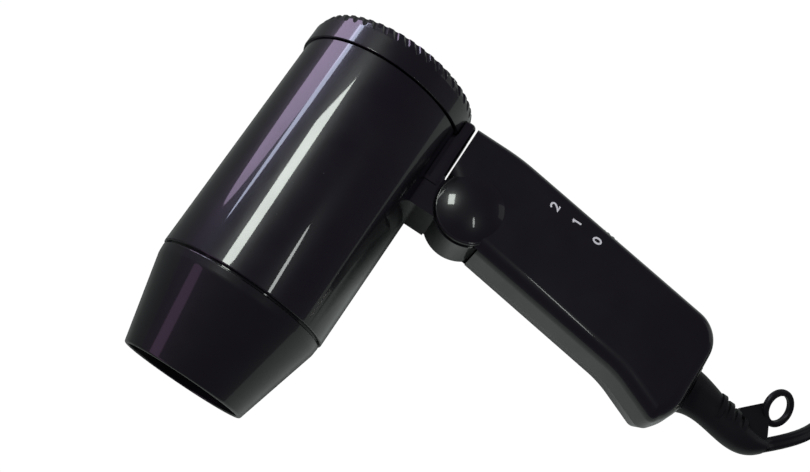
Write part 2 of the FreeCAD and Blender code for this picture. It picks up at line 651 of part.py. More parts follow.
def handle_shell(side, name):
    """Half of the handle, with an ear of the hinge, screw bosses and the room for the switch."""
    body = new_body(name)
    half = size("handle_half_width")
    up = side > 0
    blank = new_body(f"{name}_blank")
    outside = padded(blank, "outside", handle_outline(overrun=6.0), half, Reversed=not up)
    outside.TaperAngle = -size("handle_taper")
    doc.recompute()
    drafted = from_code(f"{name}_drafted", blank.Shape)
    flat_side = [f for f in drafted.Shape.Faces
                 if abs(f.CenterOfMass.z - side * half) < 0.01 and f.Surface.TypeId == "Part::GeomPlane"][0]
    eased = doc.addObject("Part::Fillet", f"{name}_eased")
    eased.Base = drafted
    eased.Edges = [
        (i, edge_radius(edge.firstVertex().Point), edge_radius(edge.lastVertex().Point))
        for i, edge in enumerate(drafted.Shape.Edges, 1) if any(edge.isSame(e) for e in flat_side.Edges)
    ]
    doc.recompute()
    body.BaseFeature = eased
    doc.recompute()
    # the ear with its dome
    inner, top = size("ear_inside"), size("dome_top")
    radius = size("ear_radius")
    rim = 13.0
    profile = body.newObject("Sketcher::SketchObject", "ear_profile")
    profile.AttachmentSupport = [(plane(body, "XZ_Plane"), "")]
    profile.MapMode = "FlatFace"
    profile.AttachmentOffset = FreeCAD.Placement(Vector(HINGE.x, 0, -HINGE.y), FreeCAD.Rotation())
    sweep = radius - 0.8
    rise = top - rim - 0.8
    ball = (sweep ** 2 + rise ** 2) / (2 * rise)
    lean = math.asin(sweep / ball) / 2
    crown = Vector(ball * math.sin(lean), side * (top - ball + ball * math.cos(lean)), 0)
    axis_low, axis_top = Vector(0, side * inner, 0), Vector(0, side * top, 0)
    rim_low, rim_top = Vector(radius, side * inner, 0), Vector(radius, side * rim, 0)
    rim_in = Vector(sweep, side * (rim + 0.8), 0)
    bevel = Vector(radius - 0.25, side * (rim + 0.55), 0)
    profile.addGeometry([
        Part.LineSegment(axis_low, rim_low), Part.LineSegment(rim_low, rim_top),
        Part.Arc(rim_top, bevel, rim_in), Part.Arc(rim_in, crown, axis_top),
        Part.LineSegment(axis_top, axis_low)], False)
    feature(body, "Revolution", "ear", profile, ReferenceAxis=(profile, ["V_Axis"]), Angle=360.0)
    doc.recompute()
    # the hollow, and the slot that the knuckle turns in
    wall = size("handle_wall")
    hollow = handle_outline(wall, size("handle_front_inset"))
    reach = size("front_wall_reach")
    slot_wall = size("slot_radius") + wall
    keep_off = knuckle_room(slot_wall, reach + wall, 60.0)
    inner_face = Part.Face(Part.Wire([e.toShape() for e in rounded(hollow)]))
    hollow_face = inner_face.cut(Part.Face(Part.Wire([e.toShape() for e in keep_off])))
    rooms = sorted(hollow_face.Faces, key=lambda f: f.Area)
    edges = [e for e in rooms[-1].OuterWire.OrderedEdges]
    sketch = new_sketch(body, "hollow_profile", [as_geometry(e) for e in edges])
    feature(body, "Pocket", "hollow", sketch, Length=half - wall, Reversed=up)
    pocketed(body, "knuckle_slot", knuckle_room(size("slot_radius"), reach, 60.0), inner, Reversed=up)
    pin = pocketed(body, "pin_hole", circle(HINGE, size("pin_radius")), size("pin_half_length"), Reversed=up)
    bind_radius(pin.Profile[0], "sizes.pin_radius")
    root = size("handle_root")
    pocketed(body, "root_face", rounded([(root - 30, 60), (root, 60), (root, 160), (root - 30, 160)]),
             60.0, Midplane=True)
    # screw bosses
    for i, (along, across) in enumerate(HANDLE_SCREWS):
        spot = on_handle(along, across)
        boss = new_sketch(body, f"boss_profile_{i}", circle(spot, 3.2))
        feature(body, "Pad", f"boss_{i}", boss, Length=half - 1.0, Reversed=not up)
        if side == LEFT:
            pocketed(body, f"pilot_{i}", circle(spot, 1.1), 9.0, Reversed=True)
        else:
            pocketed(body, f"screw_hole_{i}", circle(spot, 1.5), 30.0)
            pocketed(body, f"screw_seat_{i}", circle(spot, 2.8), 30.0, -7.0)
    # the switch's window in the back wall, the boot's seat in the end wall, the leads' hole at the root
    window = size("cap_half_width") - 1.0
    low = on_handle(SLIDER_AT - size("switch_travel") - 6.0, BACK_WALL - 8)
    high = on_handle(SLIDER_AT + 6.0, BACK_WALL + 4)
    pocketed(body, "switch_window", rounded(handle_box(low, high)), 2 * window, Midplane=True)
    end = size("handle_end")
    seat_low, seat_high = 91.2, 109.8
    pocketed(body, "boot_seat",
             rounded([(end - 6, seat_low), (end + 4, seat_low), (end + 4, seat_high), (end - 6, seat_high)]),
             2 * 6.4, Midplane=True)
    hole = on_handle(12, 8)
    pocketed(body, "lead_hole", rounded([(hole.x, hole.y - 2), (hole.x + 10, hole.y - 2),
                                         (hole.x + 10, hole.y + 2), (hole.x, hole.y + 2)]),
             4.0, Midplane=True)
    return keep(body, name)


def as_geometry(edge):
    """A sketch line or arc from an edge."""
    first, last = edge.firstVertex(True).Point, edge.lastVertex(True).Point
    if edge.Curve.TypeId == "Part::GeomLine":
        return Part.LineSegment(first, last)
    middle = edge.valueAt((edge.FirstParameter + edge.LastParameter) / 2)
    return Part.Arc(first, middle, last)


def handle_box(low, high):
    """The corners of a rectangle in line with the handle, from two opposite corners."""
    a = ALONG.dot(low - HINGE), ACROSS.dot(low - HINGE)
    b = ALONG.dot(high - HINGE), ACROSS.dot(high - HINGE)
    corners = [on_handle(a[0], a[1]), on_handle(b[0], a[1]), on_handle(b[0], b[1]), on_handle(a[0], b[1])]
    return [(c.x, c.y) for c in corners]


def knuckle_room(radius, reach, far):
    """Outline of the room round the knuckle: a disc, open on the handle's front side up to reach."""
    drop = math.sqrt(radius ** 2 - reach ** 2)
    meets = on_handle(reach, -drop)
    low = on_handle(reach, -far)
    corner = on_handle(-radius, -far)
    side_point = on_handle(-radius, 0)
    middle = on_handle(0, radius)
    return [
        Part.Arc(side_point, middle, meets), Part.LineSegment(meets, low),
        Part.LineSegment(low, corner), Part.LineSegment(corner, side_point),
    ]


def handle_screws():
    """Three self-tapping screws from the right side."""
    parts = []
    for along, across in HANDLE_SCREWS:
        spot = on_handle(along, across)
        head = cylinder(2.6, 1.8, (spot.x, spot.y, -7.0 - 1.8), ACROSS_PLANE)
        shank = cylinder(1.1, 15.0, (spot.x, spot.y, -7.2), ACROSS_PLANE)
        slot_a = box((spot.x - 1.6, spot.y - 0.35, -9.0), (3.2, 0.7, 1.0))
        slot_b = box((spot.x - 0.35, spot.y - 1.6, -9.0), (0.7, 3.2, 1.0))
        parts.append(cut("handle_screw", fused("screw_blank", [head, shank]), [slot_a, slot_b]))
    return keep(grouped("handle_screws", parts), "handle_screws")


def along_handle(along, across, height, extent):
    """A box in line with the handle from its lowest corner."""
    corner = on_handle(along, across, height)
    turn = FreeCAD.Rotation(Vector(0, 0, 1), -size("handle_slope"))
    return box((corner.x, corner.y, corner.z), extent, turn)


def switch():
    """Slide switch: the cap that the thumb moves, its body and its three terminals."""
    half = size("cap_half_width")
    stem = half - 1.3
    rise = size("cap_rise")
    cap = along_handle(SLIDER_AT - size("cap_length") / 2, BACK_WALL + 0.35, -half,
                       (size("cap_length"), rise, 2 * half))
    ribs = [along_handle(SLIDER_AT - 3.0 + 2.4 * i, BACK_WALL + 0.35 + rise - 0.5, -half - 1,
                         (1.2, 1.0, 2 * half + 2)) for i in range(3)]
    neck = along_handle(SLIDER_AT - 4.0, BACK_WALL - 4.0, -stem, (8.0, 5.0, 2 * stem))
    shoe = along_handle(SLIDER_AT - 5.5, BACK_WALL - 5.6, -6.0, (11.0, 2.4, 12.0))
    fork = along_handle(SLIDER_AT - 1.5, BACK_WALL - 7.4, -1.5, (3.0, 2.0, 3.0))
    keep(cut("slider", fused("slider_blank", [cap, neck, shoe, fork]), ribs), "switch_slider")
    housing = along_handle(SLIDER_AT - 24, BACK_WALL - 21.0, -6.5, (30.0, 13.0, 13.0))
    track = along_handle(SLIDER_AT - 22.2, BACK_WALL - 10.0, -2.0, (24.4, 3.0, 4.0))
    keep(cut("housing", housing, [track]), "switch_body")
    blade = (0.8, 6.0, 4.8)
    blades = [along_handle(SLIDER_AT - 21 + 10 * i, BACK_WALL - 27.0, -2.4, blade) for i in range(3)]
    keep(grouped("terminals", blades), "switch_terminals")


def bent_wire(name, points, radius):
    """A round wire through points, with its corners turned on arcs."""
    path = cord_path(points)
    return from_code(name, swept(path, radius))


def cord_path(points, share=0.45):
    """Straight runs joined by tangent arcs, each as large as its two runs allow; gives edges and radii."""
    edges, radii = [], []
    last = points[0]
    for before, corner, after in zip(points, points[1:], points[2:]):
        back = before - corner
        ahead = after - corner
        shorter = min(back.Length, ahead.Length)
        turn = math.pi - back.getAngle(ahead)
        reach = share * shorter
        radius = reach / math.tan(turn / 2)
        start = corner + back * (reach / back.Length)
        end = corner + ahead * (reach / ahead.Length)
        bisector = (start + end) * 0.5 - corner
        middle = corner + bisector * ((radius / math.cos(turn / 2) - radius) / bisector.Length)
        edges.append(Part.LineSegment(last, start).toShape())
        edges.append(Part.Arc(start, middle, end).toShape())
        radii.append(radius)
        last = end
    edges.append(Part.LineSegment(last, points[-1]).toShape())
    return Part.Wire(edges), radii


def swept(path_and_radii, radius):
    path = path_and_radii[0]
    first = path.Edges[0]
    direction = first.tangentAt(first.FirstParameter)
    section = Part.Wire([Part.Circle(first.valueAt(first.FirstParameter), direction, radius).toShape()])
    return path.makePipeShell([section], True, False)


def handle_inside():
    """The clamp that holds the cord, its two screws, and the wires from the clamp to the switch."""
    end = size("handle_end")
    clamp = cut("clamp", box((end - 16.4, 91.5, -6.0), (6.0, 18.0, 5.0)),
                [cylinder(1.4, 10.0, (end - 13.4, 94.3, -9.0), ACROSS_PLANE),
                 cylinder(1.4, 10.0, (end - 13.4, 106.7, -9.0), ACROSS_PLANE),
                 box((end - 18, 96.4, -2.6), (10.0, 8.2, 5.0))])
    keep(clamp, "cord_clamp")
    screws = []
    for y in (94.3, 106.7):
        screws.append(fused("clamp_screw", [
            cylinder(2.3, 1.5, (end - 13.4, y, -1.0), ACROSS_PLANE),
            cylinder(1.4, 10.4, (end - 13.4, y, -11.0), ACROSS_PLANE)]))
    keep(grouped("clamp_screws", screws), "clamp_screws")
    wires = []
    for i, side in enumerate((-1, 1)):
        start = Vector(end - 9.0, 100.5 + 1.5 * side, -1.2)
        target = on_handle(SLIDER_AT - 20.6 + 20 * i, BACK_WALL - 28.4, 0)
        middle = on_handle(76, 1.5 + 3 * side, -1.2)
        near = on_handle(SLIDER_AT + 14 - 4 * side, 1.0 + 1.2 * side, 0)
        wires.append(bent_wire("wire", [start, middle, near, target], 1.1))
    keep(grouped("handle_wires", wires), "handle_wires")


# ---------------------------------------------------------------- strain relief, cord and plug
BOOT_SECTIONS = [
    # x, low y, high y, half thickness
    (159.3, 90.6, 110.1, 6.9),
    (176.0, 91.1, 105.4, 6.2),
    (190.6, 91.7, 101.2, 5.2),
    (195.6, 95.4, 101.0, 3.4),
]


def oval(x, low, high, half):
    """An ellipse across the boot at x."""
    centre = Vector(x, (low + high) / 2, 0)
    tall = (high - low) / 2
    if tall >= half:
        ellipse = Part.Ellipse(centre + Vector(0, tall, 0), centre + Vector(0, 0, half), centre)
    else:
        ellipse = Part.Ellipse(centre + Vector(0, 0, half), centre + Vector(0, tall, 0), centre)
    return Part.Wire([ellipse.toShape()])


def strain_relief():
    """Tapered boot with a flange in the handle, ribs, and a web to the hang loop."""
    boot = from_code("boot", Part.makeLoft([oval(*s) for s in BOOT_SECTIONS], True))
    end = size("handle_end")
    flange = box((end - 5.7, 91.5, -6.1), (5.8, 18.0, 12.2))
    parts = [boot, flange]
    for i in range(4):
        x = 172.0 + 3.6 * i
        share = (x - BOOT_SECTIONS[1][0]) / (BOOT_SECTIONS[2][0] - BOOT_SECTIONS[1][0])
        low = BOOT_SECTIONS[1][1] + share * (BOOT_SECTIONS[2][1] - BOOT_SECTIONS[1][1])
        high = BOOT_SECTIONS[1][2] + share * (BOOT_SECTIONS[2][2] - BOOT_SECTIONS[1][2])
        half = BOOT_SECTIONS[1][3] + share * (BOOT_SECTIONS[2][3] - BOOT_SECTIONS[1][3])
        rib = Part.Face(oval(x, low + 2.0, high + 0.7, half + 0.35)).extrude(Vector(1.7, 0, 0))
        parts.append(from_code("rib", rib))
    ring_turn = FreeCAD.Rotation(Vector(0, 0, 1), size("loop_turn")).multiply(
        FreeCAD.Rotation(Vector(1, 0, 0), size("loop_tilt")))
    centre = Vector(size("loop_x"), size("loop_y"), 0)
    hole, bar = size("loop_hole_radius"), size("loop_bar")
    outline = rounded([(hole, -bar / 2, 0.65), (hole + bar, -bar / 2, 1.15),
                       (hole + bar, bar / 2, 1.15), (hole, bar / 2, 0.65)])
    turn_up = FreeCAD.Rotation(Vector(1, 0, 0), 90)
    face = Part.Face(Part.Wire([e.toShape() for e in outline]))
    face.Placement = FreeCAD.Placement(Vector(0, 0, 0), turn_up)
    ring = face.revolve(Vector(0, 0, 0), Vector(0, 0, 1), 360)
    ring.Placement = FreeCAD.Placement(centre, ring_turn)
    web = Part.Face(Part.Wire([e.toShape() for e in rounded([
        (179.0, 101.0), (180.7, 106.4, 1.5), (188.0, 113.4, 1.0), (191.2, 112.0),
        (192.9, 106.6, 1.2), (194.6, 102.4, 1.0), (194.2, 99.0)])])).extrude(Vector(0, 0, 2.8))
    web.translate(Vector(0, 0, -1.3))
    bore = Part.makeCylinder(hole + bar / 2, 40.0, Vector(0, 0, -20), Vector(0, 0, 1))
    bore.Placement = FreeCAD.Placement(centre, ring_turn)
    web_piece = from_code("web", web.cut(bore))
    parts += [from_code("loop", ring), web_piece]
    return keep(fused("strain_relief_blank", parts), "strain_relief")


CORD_ROUTE = [
    (194.6, 98.4, 0.0), (205.5, 108.0, -1.6), (215.5, 121.5, -9.5), (223.5, 137.0, -21.5),
    (228.5, 150.5, -29.0),
]


def cord():
    """The free cord: a tube from the boot down to the coil, the coil's outer shape, and its tie."""
    radius = size("cord_width") / 2
    points = [Vector(*p) for p in CORD_ROUTE]
    path, radii = cord_path(points)
    print("cord arcs, mm:", [round(r, 1) for r in radii], "length", round(path.Length, 1))
    tube = swept((path, radii), radius)
    print("cord volume / section x length:", round(tube.Volume / (math.pi * radius ** 2 * path.Length), 4))
    keep(from_code("cord_tube", tube), "power_cord")
    low = FLOOR + size("tie_thickness")
    centre = (size("coil_x"), size("coil_y"), low)
    outer = cylinder("sizes.coil_outside", "sizes.coil_height", centre, ACROSS_PLANE)
    below = (centre[0], centre[1], low - 1)
    inner = cylinder("sizes.coil_inside", size("coil_height") + 2, below, ACROSS_PLANE)
    keep(cut("coil", outer, [inner]), "cord_coil")
    thick = size("tie_thickness")
    x0 = size("coil_x") + size("coil_inside")
    wide = size("coil_outside") - size("coil_inside")
    tall = size("coil_height")
    y0 = size("coil_y") + 0.0
    frame = box((x0 - thick - 0.6, y0 - 4.5, FLOOR), (wide + 2 * thick + 0.8, 9.0, tall + 2 * thick))
    window = box((x0 - 0.6, y0 - 5.5, FLOOR + thick), (wide + 0.8, 11.0, tall))
    keep(cut("tie", frame, [window]), "cord_tie")


def plug():
    """Flat two-pin mains plug lying on the coil, its pins towards the dryer's front."""
    x = size("coil_x") + size("plug_offset")
    top = FLOOR + size("coil_height") + 2 * size("tie_thickness")
    middle = top + size("plug_thickness") / 2 + 0.1
    half_width, half_thick = size("plug_width") / 2, size("plug_thickness") / 2
    start = size("coil_y") + 2.0
    face = start - size("plug_neck_length") - size("plug_body_length")
    sections = [
        (start, 4.6, 4.0), (start - size("plug_neck_length"), 8.5, 6.0),
        (start - size("plug_neck_length") - 9.0, half_width - 2.0, half_thick - 0.3),
    ]

    def section(y, wide, thick):
        corners = [(-wide, -thick, thick * 0.85), (wide, -thick, thick * 0.85),
                   (wide, thick, thick * 0.85), (-wide, thick, thick * 0.85)]
        wire = Part.Wire([e.toShape() for e in rounded(corners)])
        wire.Placement = FreeCAD.Placement(Vector(x, y, middle), FreeCAD.Rotation(Vector(1, 0, 0), 90))
        return wire

    neck = Part.makeLoft([section(*s) for s in sections], True)
    block = Part.Face(section(sections[-1][0], half_width, half_thick)).extrude(
        Vector(0, face - sections[-1][0], 0))
    grooves = [box((x - 20, start - 3.4 - 3.2 * i, middle - 10), (40.0, 1.2, 20.0)) for i in range(3)]
    core = cylinder(3.4, 16.0, (x, start, middle), (0, -1, 0))
    pins = []
    holes = []
    for side in (-1, 1):
        px = x + side * size("plug_pin_pitch") / 2
        pins.append(fused("pin", [
            cylinder("sizes.plug_pin_radius", "sizes.plug_pin_length", (px, face, middle), (0, -1, 0)),
            cylinder(1.8, 8.0, (px, face + 6, middle), (0, -1, 0))]))
        holes.append(cylinder(1.8, 6.0, (px, face + 6, middle), (0, -1, 0)))
    grooved = cut("plug_grooved", from_code("plug_blank", neck.fuse(block)), grooves)
    body = cut("plug", fused("plug_cored", [grooved, core]), holes)
    keep(body, "plug_body")
    keep(grouped("pins", pins), "plug_pins")
    print("plug pins at x", x, "face y", face, "z", middle)


# ---------------------------------------------------------------- the whole dryer
barrel_shell(LEFT, "barrel_shell_left")
barrel_shell(RIGHT, "barrel_shell_right")
outlet_nozzle()
outlet_guard()
intake_cover()
intake_filter()
barrel_screws()
fan_duct()
motor()
fan()
rectifier_board()
heater()
hinge()
handle_shell(LEFT, "handle_shell_left")
handle_shell(RIGHT, "handle_shell_right")
handle_screws()
switch()
handle_inside()
strain_relief()
cord()
plug()

doc.recompute()
problems = [f"{o.Label}: {o.State}" for o in doc.Objects if "Invalid" in o.State or "Error" in o.State]
for name, piece in pieces.items():
    if piece.Shape.isNull() or not piece.Shape.isValid():
        problems.append(f"{name}: null or invalid shape")
if problems:
    raise SystemExit("failed objects:\n" + "\n".join(problems))

os.makedirs("parts", exist_ok=True)
for name, piece in pieces.items():
    piece.Shape.exportStep(f"parts/{name}.step")
    print(f"{name:22s} solids {len(piece.Shape.Solids):3d}  volume {piece.Shape.Volume:10.1f}")
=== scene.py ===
"""Looks of the folding travel hair dryer: camera, light, cord, printed numerals and materials."""
import bpy
import json
import math
from mathutils import Matrix, Vector


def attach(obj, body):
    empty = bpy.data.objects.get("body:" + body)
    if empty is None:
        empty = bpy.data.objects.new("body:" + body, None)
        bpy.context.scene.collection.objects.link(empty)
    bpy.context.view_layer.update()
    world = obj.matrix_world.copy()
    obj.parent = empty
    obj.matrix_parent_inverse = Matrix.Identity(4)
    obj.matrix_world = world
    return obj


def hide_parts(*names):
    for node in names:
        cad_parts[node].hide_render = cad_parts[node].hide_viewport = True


MM = 0.001
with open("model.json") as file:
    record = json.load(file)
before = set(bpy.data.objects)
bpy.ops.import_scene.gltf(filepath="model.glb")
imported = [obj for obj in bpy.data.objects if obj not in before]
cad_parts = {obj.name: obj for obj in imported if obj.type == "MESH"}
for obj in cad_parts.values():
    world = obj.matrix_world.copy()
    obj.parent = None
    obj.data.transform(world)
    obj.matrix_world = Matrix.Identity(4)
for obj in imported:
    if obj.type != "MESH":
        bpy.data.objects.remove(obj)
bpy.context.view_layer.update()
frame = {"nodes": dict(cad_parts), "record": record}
nodes = frame["nodes"]
scene = bpy.context.scene


# ---------------------------------------------------------------- helpers
def lerp(a, b, t):
    """The value a fraction t of the way from a to b."""
    return a + (b - a) * t


def smooth(t):
    """0 to 1 with soft ends."""
    t = min(1.0, max(0.0, t))
    return t * t * (3.0 - 2.0 * t)


def new_mesh(name, verts, faces, body):
    """A smooth-shaded mesh piece that rides on a body."""
    mesh = bpy.data.meshes.new(name)
    mesh.from_pydata([tuple(v) for v in verts], [], faces)
    mesh.validate()
    for polygon in mesh.polygons:
        polygon.use_smooth = True
    piece = bpy.data.objects.new(name, mesh)
    scene.collection.objects.link(piece)
    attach(piece, body)
    return piece


# ---------------------------------------------------------------- camera
camera_data = bpy.data.cameras.new("camera")
camera_data.lens = 46.7775
camera_data.sensor_width = 36.0
camera_data.clip_start = 0.01
camera = bpy.data.objects.new("camera", camera_data)
camera.location = (-0.039255, -0.09745, 0.4185)
camera.rotation_euler = [math.radians(a) for a in (14.62599, -8.53164, 32.30518)]
scene.collection.objects.link(camera)
scene.camera = camera

# ---------------------------------------------------------------- cord: its centreline
CORD_EXIT = (0.112225, 0.0266, 0.036)
ROUTE = [
    CORD_EXIT,
    (0.123125, 0.0362, 0.0344),
    (0.133125, 0.0497, 0.0265),
    (0.141125, 0.0652, 0.0145),
    (0.146125, 0.0787, 0.0070),
]
COIL = Vector((0.180625, 0.0772, 0.0))
POINTS_PER_TURN = 18
# turns wound, radius and height of the cord's middle (mm): three columns side by side, three layers
WINDING = [
    (0.06, 35.2, 5.6),
    (0.25, 35.5, 3.7),
    (0.90, 35.4, 3.6),
    (1.12, 30.3, 3.6),
    (1.88, 30.0, 3.6),
    (2.10, 24.9, 3.6),
    (2.88, 24.6, 3.6),
    (3.12, 24.8, 9.0),
    (3.90, 24.6, 9.0),
    (4.13, 30.0, 9.0),
    (4.90, 30.3, 9.0),
    (5.10, 35.3, 9.0),
    (5.84, 35.5, 9.1),
    (6.08, 35.1, 14.9),
    (6.36, 24.9, 14.6),
    (6.92, 24.6, 14.4),
    (7.15, 29.8, 14.4),
    (7.90, 30.4, 14.4),
    (8.14, 35.4, 14.4),
    (8.76, 35.2, 14.7),
    (9.00, 35.0, 17.4),
]
PLUG_OFFSET = 14.0
PLUG_HEIGHT = 25.6


def winding_points():
    """The coil's control points, clockwise seen from above, from its left side on."""
    points = []
    step = 1.0 / POINTS_PER_TURN
    spread = 1.0 / math.cos(math.pi / POINTS_PER_TURN)
    turn = WINDING[0][0]
    for (t0, r0, z0), (t1, r1, z1) in zip(WINDING, WINDING[1:]):
        while turn <= t1 - step / 4:
            part = smooth((turn - t0) / (t1 - t0))
            radius = lerp(r0, r1, part) * spread * MM
            angle = math.pi * (1.0 - 2.0 * turn)
            height = lerp(z0, z1, part) * MM
            points.append(COIL + Vector((radius * math.cos(angle), radius * math.sin(angle), height)))
            turn += step
    return points


def lead_in_points():
    """The last half turn, which crosses the coil's top to the plug's neck."""
    start, end = -WINDING[-1][1], PLUG_OFFSET
    radius, middle = (end - start) / 2, (end + start) / 2
    points = []
    for k in range(10):
        part = k / 9
        angle = math.pi * (1.0 - part)
        height = lerp(WINDING[-1][2], PLUG_HEIGHT, smooth(part * 1.15))
        across = middle + radius * math.cos(angle)
        points.append(COIL + Vector((across, radius * math.sin(angle), height)) * MM)
    points.append(COIL + Vector((PLUG_OFFSET * MM, -0.003, PLUG_HEIGHT * MM)))
    return points


control = [Vector(p) for p in ROUTE] + winding_points() + lead_in_points()
line_curve = bpy.data.curves.new("cord_line", "CURVE")
line_curve.dimensions = "3D"
line_curve.resolution_u = 6
spline = line_curve.splines.new("NURBS")
spline.points.add(len(control) - 1)
for point, place in zip(spline.points, control):
    point.co = (*place, 1.0)
spline.order_u = 3
spline.use_endpoint_u = True
line_object = bpy.data.objects.new("cord_line", line_curve)
line_mesh = bpy.data.meshes.new_from_object(line_object)
centres = [v.co.copy() for v in line_mesh.vertices]
bpy.data.objects.remove(line_object)
bpy.data.meshes.remove(line_mesh)


# ---------------------------------------------------------------- cord: its two-core section
def twin_section():
    """The outline of two round cores side by side, joined by a web, in millimetres (across, through)."""
    core, apart = 1.6, 1.1
    start = math.acos(-apart / core) * 0.93
    outline = []
    for side in (1.0, -1.0):
        for k in range(11):
            angle = lerp(-start, start, k / 10)
            outline.append((side * (apart + core * math.cos(angle)), side * core * math.sin(angle)))
    return outline


def cord_mesh(line):
    """Rings of the two-core section along the line, lying flat at both ends and on edge in the coil."""
    lengths = [0.0]
    for a, b in zip(line, line[1:]):
        lengths.append(lengths[-1] + (b - a).length)
    whole = lengths[-1]
    section = twin_section()
    count = len(section)
    verts, faces = [], []
    for i, place in enumerate(line):
        along = (line[min(i + 1, len(line) - 1)] - line[max(i - 1, 0)]).normalized()
        level = along.cross(Vector((0, 0, 1))).normalized()
        upright = level.cross(along)
        on_edge = smooth((lengths[i] - 0.050) / 0.045) * smooth((whole - 0.012 - lengths[i]) / 0.075)
        turned = on_edge * math.pi / 2
        wide = level * math.cos(turned) + upright * math.sin(turned)
        thick = wide.cross(along)
        verts += [place + (wide * a + thick * b) * MM for a, b in section]
        if i:
            first, last = (i - 1) * count, i * count
            for k in range(count):
                n = (k + 1) % count
                faces.append((first + k, first + n, last + n, last + k))
    faces.append(tuple(range(count)))
    faces.append(tuple(reversed(range(len(verts) - count, len(verts)))))
    return verts, faces


cord_verts, cord_faces = cord_mesh(centres)
cord = new_mesh("mains_cord", cord_verts, cord_faces, "handle")
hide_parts("power_cord", "cord_coil")


# ---------------------------------------------------------------- materials
def socket(shader, name, value):
    shader.inputs[name].default_value = value


def coordinates(tree):
    return tree.nodes.new("ShaderNodeTexCoord").outputs["Object"]


def noise(tree, scale, detail=3.0, stretch=(1.0, 1.0, 1.0)):
    """Noise laid over the piece in metres."""
    mapping = tree.nodes.new("ShaderNodeMapping")
    mapping.inputs["Scale"].default_value = stretch
    texture = tree.nodes.new("ShaderNodeTexNoise")
    texture.inputs["Scale"].default_value = scale
    texture.inputs["Detail"].default_value = detail
    tree.links.new(coordinates(tree), mapping.inputs["Vector"])
    tree.links.new(mapping.outputs["Vector"], texture.inputs["Vector"])
    return texture.outputs["Fac"]


def ramp(tree, fac, stops):
    """A colour ramp through (position, value or colour) stops."""
    node = tree.nodes.new("ShaderNodeValToRGB")
    while len(node.color_ramp.elements) < len(stops):
        node.color_ramp.elements.new(0.5)
    for element, (position, value) in zip(node.color_ramp.elements, stops):
        element.position = position
        element.color = (value, value, value, 1.0) if isinstance(value, float) else (*value, 1.0)
    tree.links.new(fac, node.inputs["Fac"])
    return node.outputs["Color"]


def bump(tree, height, distance, strength=1.0, below=None):
    node = tree.nodes.new("ShaderNodeBump")
    node.inputs["Distance"].default_value = distance
    node.inputs["Strength"].default_value = strength
    tree.links.new(height, node.inputs["Height"])
    if below is not None:
        tree.links.new(below, node.inputs["Normal"])
    return node.outputs["Normal"]


def material(name):
    made = bpy.data.materials.new(name)
    made.use_nodes = True
    tree = made.node_tree
    return made, tree, tree.nodes["Principled BSDF"]


def moulded(
    name, low, high, rough, grain=0.0, grain_scale=2600.0, coat=0.0, coat_rough=0.03, wave=0.00003, dust=0.0
):
    """Injection-moulded plastic: faint flow variation, slightly uneven gloss, optional fine grain and dust."""
    made, tree, shader = material(name)
    colour = ramp(tree, noise(tree, 22.0, 4.0), [(0.35, low), (0.7, high)])
    if dust:
        specks = tree.nodes.new("ShaderNodeTexVoronoi")
        specks.inputs["Scale"].default_value = 190.0
        tree.links.new(coordinates(tree), specks.inputs["Vector"])
        spot = ramp(tree, specks.outputs["Distance"], [(0.0, 1.0), (0.035, 0.0)])
        thin = ramp(tree, noise(tree, 41.0, 2.0), [(0.52, 0.0), (0.62, 1.0)])
        both = tree.nodes.new("ShaderNodeMath")
        both.operation = "MULTIPLY"
        tree.links.new(spot, both.inputs[0])
        tree.links.new(thin, both.inputs[1])
        mix = tree.nodes.new("ShaderNodeMix")
        mix.data_type = "RGBA"
        tree.links.new(both.outputs[0], mix.inputs["Factor"])
        tree.links.new(colour, mix.inputs[6])
        mix.inputs[7].default_value = (dust, dust, dust, 1.0)
        colour = mix.outputs[2]
    tree.links.new(colour, shader.inputs["Base Color"])
    gloss = ramp(tree, noise(tree, 75.0, 5.0), [(0.3, rough * 0.85), (0.75, rough * 1.2)])
    tree.links.new(gloss, shader.inputs["Roughness"])
    normal = bump(tree, noise(tree, 30.0, 1.0), wave)
    if grain:
        normal = bump(tree, noise(tree, grain_scale, 2.0), grain, below=normal)
    tree.links.new(normal, shader.inputs["Normal"])
    socket(shader, "IOR", 1.5)
    socket(shader, "Specular IOR Level", 0.32)
    socket(shader, "Coat Weight", coat)
    socket(shader, "Coat Roughness", coat_rough)
    return made


def metal(name, colour, rough, brushed=(1.0, 1.0, 1.0), scale=900.0):
    """Bare or plated metal with drawn streaks and uneven gloss."""
    made, tree, shader = material(name)
    fleck = noise(tree, scale, 4.0, brushed)
    dark = tuple(c * 0.8 for c in colour)
    tree.links.new(ramp(tree, fleck, [(0.3, dark), (0.7, colour)]), shader.inputs["Base Color"])
    tree.links.new(ramp(tree, fleck, [(0.2, rough * 0.75), (0.8, rough * 1.25)]), shader.inputs["Roughness"])
    tree.links.new(bump(tree, fleck, 0.00001), shader.inputs["Normal"])
    socket(shader, "Metallic", 1.0)
    return made


